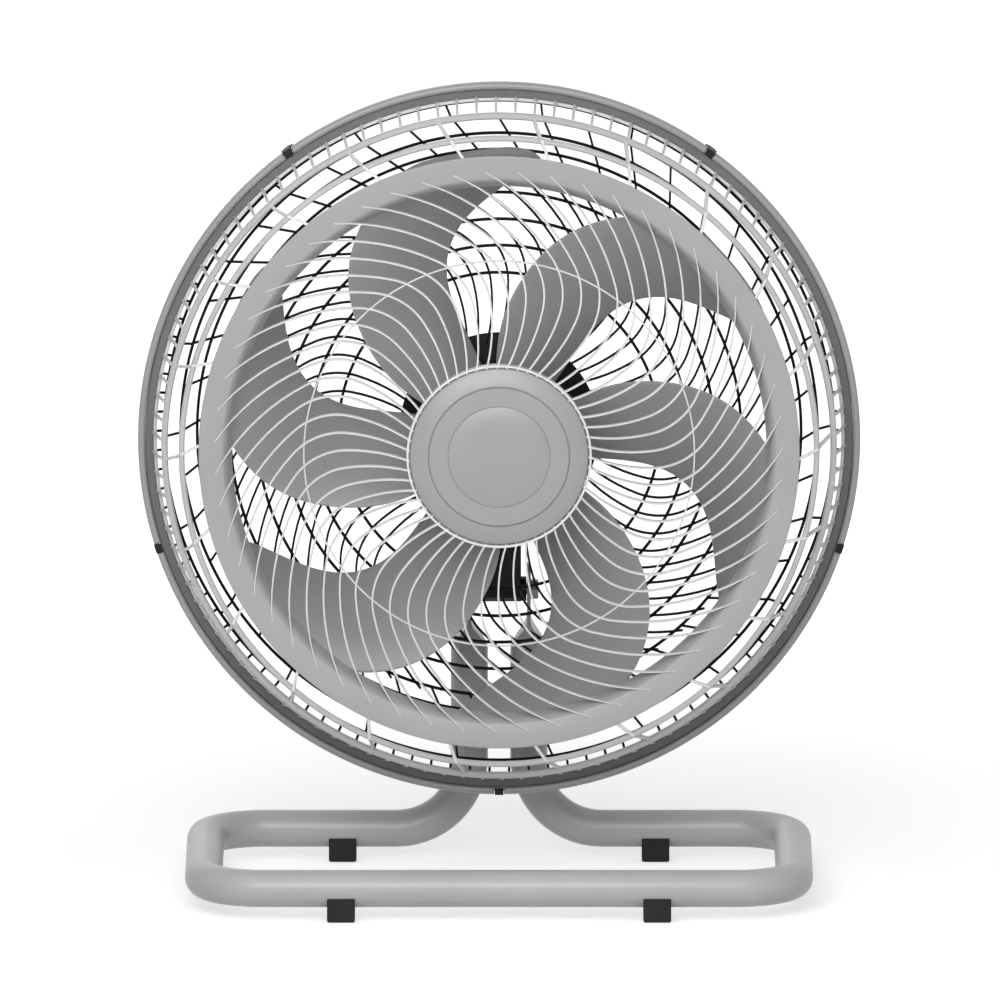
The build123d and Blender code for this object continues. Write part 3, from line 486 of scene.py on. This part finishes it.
rings = Shape()
rings.turn(soft_box(224.9, 229.3, 26, 31, 0.9), ROUND_RIM)
rings.turn(soft_box(213.3, 217.3, 49.3, 52.3, 0.9), ROUND_RIM)
cage = Shape()
cage.turn(soft_box(232.6, 234.9, -5, -1, 0.4))
for i in range(POSTS):
    post(cage, POST_PHASE + 360 * i / POSTS, ((234.2, -3), (228.2, 28)), POST_WIDTH)
for i in range(ARMS):
    angle = ARM_PHASE + 360 * i / ARMS
    line = [polar(angle - lean, radius, z) for lean, radius, z in ARM_LINE]
    wire(cage, line, tangent(angle), 2.0, 2.4)
piece("front_cage_bars", cage.verts, cage.faces, GUARD_LIGHT_HIGHLIT, "head", FRONT_NODES)
piece("front_cage_rings", rings.verts, rings.faces, RING_SHADED_GREY, "head", FRONT_NODES)


# Front grille

RIBS = 55
RIB_ARCS = ((116.0, 21.8), (44.5, 52.5), (153.0, 33.0))
BACK_ARCS = ((116.0, 21.8), (44.5, 52.5), (153.0, 28.5))
RIB_START_R = 60.6
RIB_START_ANGLE = -1.45
RIB_START_LEAN = 22.5
RIB_SLOPE = 0.1435
RIB_WIDTH = 1.2
RIB_TIP_WIDTH = 0.6
RIB_DEPTH = 4.5
HUB_Z = 71.0
HUB_R = 62.8


def spiral(arcs):
    """The spiral's centre line, x outwards from clock angle 0 and y anticlockwise, with its headings."""
    heading = -RIB_START_ANGLE - RIB_START_LEAN
    start = radians(-RIB_START_ANGLE)
    place = Vector((RIB_START_R * cos(start), RIB_START_R * sin(start)))
    line = [(place, heading)]
    for radius, turn in arcs:
        steps = max(5, round(turn / 3.5))
        step = turn / steps
        for _ in range(steps):
            along = radians(heading + step / 2)
            place = place + Vector((cos(along), sin(along))) * (2 * radius * sin(radians(step / 2)))
            heading = heading + step
            line.append((place, heading))
    return line


def rib(shape, turn, arcs, root, tip, depth, height, taper=4):
    """One spiral rib; height gives how far forward its front edge is at a point of the spiral."""
    spot = spiral(arcs)
    line = []
    across = []
    widths = []
    for i, (place, heading) in enumerate(spot):
        angle = turn - np.degrees(np.arctan2(place.y, place.x))
        line.append(polar(angle, place.length, height(place)))
        way = radians(turn - heading)
        across.append(Vector((cos(way), 0, -sin(way))))
        left = len(spot) - 1 - i
        share = min(1.0, left / taper)
        widths.append(tip + (root - tip) * share)
    down = [Vector((0, 1, 0))] * len(line)
    shape.bar(line, across, down, widths, depth, 0.55)


def front_height(place):
    """The front ribs' edge lies in a plane that falls outwards."""
    along = place.x * cos(radians(5)) + place.y * sin(radians(5))
    return HUB_Z - 0.5 + RIB_SLOPE * (HUB_R - along)


grille = Shape()
grille.turn(soft_box(131.9, 132.9, 57.1, 59.1, 0.3))
grille.turn(rounded([(61.3, 62), (62.8, 62), (62.8, 71), (61.3, 71)], 0.5))
for i in range(RIBS):
    rib(grille, 360 * i / RIBS, RIB_ARCS, RIB_WIDTH, RIB_TIP_WIDTH, RIB_DEPTH, front_height)
piece("grille_ribs", grille.verts, grille.faces, GUARD_LIGHT_HIGHLIT, "head", ("front_grille",))

CONE_PROFILE = (
    (182.8, 41.0), (186.2, 48.0), (189.0, 50.6), (203.8, 53.5),
    (203.8, 55.5), (187.4, 52.8), (184.6, 49.6), (181.0, 41.6),
)
cone = Shape()
cone.turn(rounded(CONE_PROFILE, 1.4), ROUND_RIM)
piece("grille_cone", cone.verts, cone.faces, CONE_GREY, "head", ("front_grille",), sharp=60)

CAP_PROFILE = (
    (2.0, 65.0), (60.3, 65.0), (60.7, 65.4), (60.7, 68.2), (60.3, 69.0), (59.4, 69.5), (50.0, 71.2),
    (48.3, 71.4), (48.1, 71.2), (48.0, 70.3), (47.4, 70.3), (47.3, 71.6), (47.0, 71.9), (36.2, 72.2),
    (35.0, 72.1), (34.8, 71.8), (34.6, 71.8), (34.3, 72.4), (33.8, 72.6), (20.0, 72.6), (2.0, 72.6),
)
cap = Shape()
cap.loft([[polar(360 * k / ROUND, radius, z) for k in range(ROUND)] for radius, z in CAP_PROFILE])
piece("cap_disc", cap.verts, cap.faces, CAP_GREY, "head", ("hub_cap",), sharp=40)


# Blades: radius, trailing edge, leading edge, pitch

BLADES = 6
BLADE_ROOT_R = 39
BLADE_END_R = 193
BLADE_ROWS = 30
STATIONS = (
    (39.0, 57.0, 108.0, 37.0),
    (76.0, 60.0, 102.5, 33.0),
    (114.0, 67.5, 102.0, 28.0),
    (150.0, 77.0, 111.0, 24.0),
    (181.6, 90.0, 125.3, 20.5),
    (193.0, 96.5, 128.5, 19.5),
)
TIP = (
    (196.3, 98.9, 127.2, 19.3),
    (198.4, 101.0, 125.7, 19.2),
    (199.6, 102.9, 123.8, 19.1),
    (200.0, 104.5, 122.0, 19.0),
)


def spline(xs, ys, at):
    """A smooth curve through points, read at other places."""
    count = len(xs)
    steps = np.diff(xs)
    matrix = np.eye(count)
    right = np.zeros(count)
    for i in range(1, count - 1):
        matrix[i, i - 1 : i + 2] = (steps[i - 1], 2 * (steps[i - 1] + steps[i]), steps[i])
        right[i] = 6 * ((ys[i + 1] - ys[i]) / steps[i] - (ys[i] - ys[i - 1]) / steps[i - 1])
    bend = np.linalg.solve(matrix, right)
    result = []
    for x in at:
        i = min(max(int(np.searchsorted(xs, x)) - 1, 0), count - 2)
        a, b, h = xs[i + 1] - x, x - xs[i], steps[i]
        value = bend[i] * a ** 3 / (6 * h) + bend[i + 1] * b ** 3 / (6 * h)
        value += (ys[i] / h - bend[i] * h / 6) * a + (ys[i + 1] / h - bend[i + 1] * h / 6) * b
        result.append(value)
    return result


def blade_loop(radius, trailing, leading, pitch, turn, count=26):
    """A blade's section: a thin cambered plate with rounded edges."""
    chord = radians(leading - trailing) * radius
    front = []
    back = []
    for k in range(count + 1):
        share = (1 - cos(pi * k / count)) / 2
        angle = trailing + (leading - trailing) * share
        fall = chord * (0.5 - share) * tan(radians(pitch))
        camber = 0.05 * chord * 4 * share * (1 - share)
        edge = min(share, 1 - share) * chord
        half = 1.1 * sqrt(min(1.0, max(0.0, edge * (2.4 - edge)) / 1.44)) if edge < 1.2 else 1.1
        front.append(polar(angle + turn, radius, 3 + fall + camber + half))
        back.append(polar(angle + turn, radius, 3 + fall + camber - half))
    return front + back[-2:0:-1]


span = BLADE_END_R - BLADE_ROOT_R
radii = [BLADE_ROOT_R + span * i / BLADE_ROWS for i in range(BLADE_ROWS + 1)]
columns = [[row[c] for row in STATIONS] for c in range(4)]
edges = [spline(columns[0], columns[c], radii) for c in (1, 2, 3)]
rows = list(zip(radii, *edges)) + list(TIP)
blades = Shape()
for i in range(BLADES):
    blades.loft([blade_loop(*row, 360 / BLADES * i) for row in rows])
piece("blade_vanes", blades.verts, blades.faces, BLADE_LIT_GREY, "rotor", ("fan_blade",), sharp=50)

HUB_PROFILE = (
    (39.5, -14), (42, -13.6), (42, 14), (41.2, 17), (38.6, 19.4),
    (35, 20), (4.2, 20), (4.2, 17.5), (34, 17), (39.5, 13),
)
hub = Shape()
hub.turn(HUB_PROFILE, 120)
piece("blade_hub", hub.verts, hub.faces, BLADE_LIT_GREY, "rotor", ("fan_blade",), sharp=40)
dressed("blade_nut", "rotor", BLACK_PLASTIC, 0.8)


# Rear guard

BACK_RINGS = (109.4, 128.1, 146.3, 164.7, 183.1, 194.3, 205.6, 216.8, 228.0)
BACK_LOW = -34.4
BACK_HIGH = -31.6
BACK_BAR_WIDTH = 1.5
BACK_POST_PHASE = 1.6
BACK_POST = ((228.6, -33.6), (232.6, -32.2), (238.8, -10), (238.8, -8))


def flat_bar(shape, inner, outer):
    """A straight bar in the rear guard's flat back, between (radius, clock angle) ends."""
    line = [polar(inner[1], inner[0], BACK_HIGH), polar(outer[1], outer[0], BACK_HIGH)]
    along = (line[1] - line[0]).normalized()
    across = along.cross(Vector((0, -1, 0))).normalized()
    down = Vector((0, 1, 0))
    shape.bar(line, [across] * 2, [down] * 2, [BACK_BAR_WIDTH] * 2, BACK_HIGH - BACK_LOW)


guard = Shape()
for radius in BACK_RINGS:
    guard.turn(soft_box(radius - 1.0, radius + 1.0, BACK_LOW, BACK_HIGH, 0.6))
guard.turn([
    (14.2, BACK_LOW), (67, BACK_LOW), (68, -33.6), (68, -32.2), (67, BACK_HIGH), (14.2, BACK_HIGH),
])
guard.turn(soft_box(235, 240, -9, -5, 0.5))
for i in range(RIBS):
    rib(
        guard, 360 * i / RIBS, BACK_ARCS, BACK_BAR_WIDTH, BACK_BAR_WIDTH,
        BACK_HIGH - BACK_LOW, lambda place: BACK_HIGH,
    )
for i in range(2 * ARMS):
    turn = 360 * i / (2 * ARMS)
    flat_bar(guard, (182.5, 6.6 + turn), (217.0, -0.2 + turn))
for i in range(ARMS):
    turn = 360 * i / ARMS
    flat_bar(guard, (216.5, 7.9 + turn), (228.0, 7.16 + turn))
for i in range(POSTS):
    post(guard, BACK_POST_PHASE + 360 * i / POSTS, BACK_POST, POST_WIDTH)
piece("rear_guard_bars", guard.verts, guard.faces, GUARD_BLACK, "head", REAR_NODES)

CLIP_PIN_R = 244.4
CLIP_PIN_Z = -13.0
CLIP_PIN_SIZE = 0.9
CLIP_PIN_HALF = 4
EAR_INNER = 3.3
EAR_WIDTH = 1.2
EAR_OUTLINE = (
    (236.4, -7), (239.6, -7), (239.6, -9.5), (245.4, -10.8), (245.4, -15), (241.5, -15), (236.4, -11),
)
CLIP_OUTLINE = (
    (242.9, -14.5), (245.9, -14.5), (245.9, 2.2), (245.2, 3.0),
    (240.9, 3.0), (240.9, 2.8), (242.0, 1.4), (242.9, 0.4),
)
CLIP_MIDDLE_R = 244


def clip_hinges():
    """The ears and pins behind the rim that the clips turn on."""
    shape = Shape()
    ear = rounded(EAR_OUTLINE, 1.0)
    for angle in CLIP_ANGLES:
        way = tangent(angle) * MM
        for side in (-1, 1):
            outline = [polar(angle, r, z) for r, z in ear]
            prism(shape, outline, way * (side * EAR_INNER), way * (side * EAR_WIDTH))
        ring = []
        for k in range(16):
            turn = 2 * pi * k / 16
            ring.append(polar(
                angle, CLIP_PIN_R + CLIP_PIN_SIZE * cos(turn), CLIP_PIN_Z + CLIP_PIN_SIZE * sin(turn)
            ))
        prism(shape, ring, way * -CLIP_PIN_HALF, way * (2 * CLIP_PIN_HALF))
    return shape


def clip_arm(angle):
    """A slim clip with its foot round the pin and its hook over the lip's notch."""
    shape = Shape()
    way = tangent(angle) * MM
    outline = rounded(CLIP_OUTLINE, 0.5, 3)
    loops = []
    for offset, shrink in ((-3.0, 0.1), (-2.7, 0.0), (2.7, 0.0), (3.0, 0.1)):
        loop = []
        for r, z in outline:
            place = polar(angle, r + (CLIP_MIDDLE_R - r) * shrink, z * (1 - shrink * 0.1))
            loop.append(place + way * offset)
        loops.append(loop)
    shape.loft(loops)
    return shape


hinges = clip_hinges()
piece("clip_hinges", hinges.verts, hinges.faces, GUARD_BLACK, "head", REAR_NODES)

for number, angle in enumerate(CLIP_ANGLES, 1):
    arm = clip_arm(angle)
    node = "guard_clip_%d" % number
    piece("%s_arm" % node, arm.verts, arm.faces, BLACK_PLASTIC, "clip_%d" % number, (node,))


# Motor and its shell

dressed("guard_nut", "head", BLACK_PLASTIC, 0.8)
dressed("motor_front_cover", "head", ALLOY, 1.0, 3)
dressed("motor_rear_cover", "head", ALLOY, 1.0, 3)
dressed("stator_core", "head", CORE_STEEL, 0.3, 1)
dressed("speed_knob", "speed", BLACK_PLASTIC, 0.4)
dressed("cord_gland", "head", BLACK_PLASTIC, 0.5)

SHELL_ROUND = 120
SHELL_PROFILE = (
    (0.5, -122), (30, -122), (33, -121.2), (45, -117), (47.6, -114.4), (55.6, -101), (56.4, -97),
    (60.0, -39), (60, -38), (57.5, -38), (57.5, -38.6), (53.5, -98), (44, -114), (29, -120),
    (0.5, -120),
)
VENT_ROWS = 5
VENT_PITCH = 8
shell = Shape()
shell_turns = [360 * k / SHELL_ROUND for k in range(SHELL_ROUND)]
shell.loft([[polar(turn, radius, z) for turn in shell_turns] for radius, z in SHELL_PROFILE])
motor_housing = piece(
    "motor_housing", shell.verts, shell.faces, BLACK_PLASTIC, "head",
    ("motor_shell",), sharp=40,
)


def box_outline(middle_x, middle_y, half_x, half_y, z):
    """A rectangle across the head's axis."""
    corners = ((-half_x, -half_y), (half_x, -half_y), (half_x, half_y), (-half_x, half_y))
    return [head(middle_x + dx, middle_y + dy, z) for dx, dy in corners]


def circle(radius, sides):
    """Points of a circle about the origin, as (along, across)."""
    turns = [2 * pi * k / sides for k in range(sides)]
    return [(radius * cos(turn), radius * sin(turn)) for turn in turns]


THROUGH_WALL = Vector((0, -7, 0)) * MM
NECK_CUT = Vector((0, -62, 0)) * MM
STEM_CUT = Vector((0, 0, 20)) * MM
holes = Shape()
prism(holes, box_outline(0, -53, 15.5, 11, -98), Vector(), NECK_CUT)
prism(holes, [Vector((a, 0, b)) * MM for a, b in circle(6.0, 32)], head(0, -26, -125), THROUGH_WALL)
prism(holes, [Vector((a, b, 0)) * MM for a, b in circle(4, 24)], head(18.6, 44, -84), STEM_CUT)
for x in (-16, 16):
    for row in range(VENT_ROWS):
        prism(holes, box_outline(x, VENT_PITCH * (row - 2), 5, 1.5, -125), Vector(), THROUGH_WALL)
cut(motor_housing, holes)

OTHERS = {
    "motor_screws": BOLT_STEEL,
    "shaft_bushes": BRONZE,
    "stator_windings": COPPER,
    "rotor_core": CORE_STEEL,
    "motor_shaft": BOLT_STEEL,
    "shell_post": ALLOY,
    "capacitor": WHITE_PLASTIC,
    "terminal_block": WHITE_PLASTIC,
    "speed_switch": BLACK_PLASTIC,
}
for node, mat in OTHERS.items():
    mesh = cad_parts[node].data
    mesh.materials.clear()
    mesh.materials.append(mat)


# Floor, light and camera


def show_white(tree, shader):
    """What the camera and mirror-like surfaces see in place of the lit surface."""
    nodes = tree.nodes
    links = tree.links
    light = nodes.new("ShaderNodeLightPath")
    either = nodes.new("ShaderNodeMath")
    either.operation = "MAXIMUM"
    every = nodes.new("ShaderNodeMath")
    every.operation = "MAXIMUM"
    links.new(light.outputs["Is Camera Ray"], either.inputs[0])
    links.new(light.outputs["Is Glossy Ray"], either.inputs[1])
    links.new(either.outputs[0], every.inputs[0])
    links.new(light.outputs["Is Transmission Ray"], every.inputs[1])
    mix = nodes.new("ShaderNodeMixShader")
    links.new(every.outputs[0], mix.inputs[0])
    links.new(shader.outputs[0], mix.inputs[1])
    return mix


FLOOR = 6.0
FLOOR_Z = -0.0004
floor_mesh = bpy.data.meshes.new("floor")
floor_mesh.from_pydata(
    [(x, y, FLOOR_Z) for x, y in ((-FLOOR, -FLOOR), (FLOOR, -FLOOR), (FLOOR, FLOOR), (-FLOOR, FLOOR))],
    [], [(0, 1, 2, 3)],
)
floor_mat = bpy.data.materials.new("floor_white")
floor_mat.use_nodes = True
nodes = floor_mat.node_tree.nodes
links = floor_mat.node_tree.links
floor_shader = nodes["Principled BSDF"]
floor_shader.inputs["Base Color"].default_value = (0.8, 0.8, 0.8, 1)
floor_shader.inputs["Roughness"].default_value = 0.9
floor_shader.inputs["Specular IOR Level"].default_value = 0.0
lit = nodes.new("ShaderNodeBsdfDiffuse")
lit.inputs["Color"].default_value = (0.7, 0.7, 0.7, 1)
glow = nodes.new("ShaderNodeEmission")
spot = nodes.new("ShaderNodeTexCoord")
reach = nodes.new("ShaderNodeVectorMath")
reach.operation = "LENGTH"
fade = nodes.new("ShaderNodeMapRange")
fade.inputs["From Min"].default_value = 0.3
fade.inputs["From Max"].default_value = 1.1
fade.inputs["To Min"].default_value = 0.6
fade.inputs["To Max"].default_value = 0.95
links.new(spot.outputs["Object"], reach.inputs[0])
links.new(reach.outputs["Value"], fade.inputs["Value"])
links.new(fade.outputs["Result"], glow.inputs["Strength"])
both = nodes.new("ShaderNodeAddShader")
links.new(lit.outputs[0], both.inputs[0])
links.new(glow.outputs[0], both.inputs[1])
seen = show_white(floor_mat.node_tree, floor_shader)
links.new(both.outputs[0], seen.inputs[2])
links.new(seen.outputs[0], nodes["Material Output"].inputs["Surface"])
floor_mesh.materials.append(floor_mat)
floor = bpy.data.objects.new("floor", floor_mesh)
bpy.context.scene.collection.objects.link(floor)

world = bpy.data.worlds.new("studio")
bpy.context.scene.world = world
world.use_nodes = True
nodes = world.node_tree.nodes
links = world.node_tree.links
ambient = nodes["Background"]
ambient.inputs["Color"].default_value = (1, 1, 1, 1)
ambient.inputs["Strength"].default_value = 0.26
white = nodes.new("ShaderNodeBackground")
white.inputs["Color"].default_value = (1, 1, 1, 1)
white.inputs["Strength"].default_value = 1.0
sky = show_white(world.node_tree, ambient)
links.new(white.outputs[0], sky.inputs[2])
links.new(sky.outputs[0], nodes["World Output"].inputs["Surface"])


def area_light(name, place, target, size, watts):
    """A soft square lamp aimed at a point."""
    data = bpy.data.lights.new(name, "AREA")
    data.shape = "SQUARE"
    data.size = size
    data.energy = watts
    lamp = bpy.data.objects.new(name, data)
    lamp.location = place
    lamp.rotation_mode = "QUATERNION"
    lamp.rotation_quaternion = (Vector(target) - Vector(place)).to_track_quat("-Z", "Y")
    bpy.context.scene.collection.objects.link(lamp)


area_light("key_light", (-1.2, -2.0, 2.2), (0, 0, 0.3), 1.6, 10)
area_light("fill_light", (1.8, -1.6, 1.2), (0, 0, 0.3), 1.6, 4)
area_light("top_light", (0, 0.1, 2.4), (0, 0, 0.3), 1.8, 3)
area_light("back_light", (-0.7, 2.2, 1.0), (0, 0, 0.3), 1.4, 3)
area_light("front_light", (-0.15, -1.45, 0.85), (0, 0, 0.25), 0.8, 13.5)

PIXEL = 0.68
AIM_BELOW_AXIS = 61
SENSOR_WIDTH = 36.0
IMAGE_WIDTH = 1000 * PIXEL * MM
DISTANCE = 20.0
ELEVATION = radians(10)
camera_data = bpy.data.cameras.new("camera")
camera_data.sensor_width = SENSOR_WIDTH
camera_data.lens = SENSOR_WIDTH * DISTANCE / IMAGE_WIDTH
camera_data.clip_start = 1.0
camera_data.clip_end = 100.0
camera = bpy.data.objects.new("camera", camera_data)
aim = Vector((0.6, HEAD_Y, AXIS_HEIGHT - AIM_BELOW_AXIS * PIXEL / cos(ELEVATION))) * MM
back = Vector((0, -cos(ELEVATION), sin(ELEVATION)))
camera.location = aim + back * DISTANCE
camera.rotation_mode = "QUATERNION"
camera.rotation_quaternion = (-back).to_track_quat("-Z", "Y")
bpy.context.scene.collection.objects.link(camera)
bpy.context.scene.camera = camera
bpy.context.scene.view_settings.view_transform = "Standard"
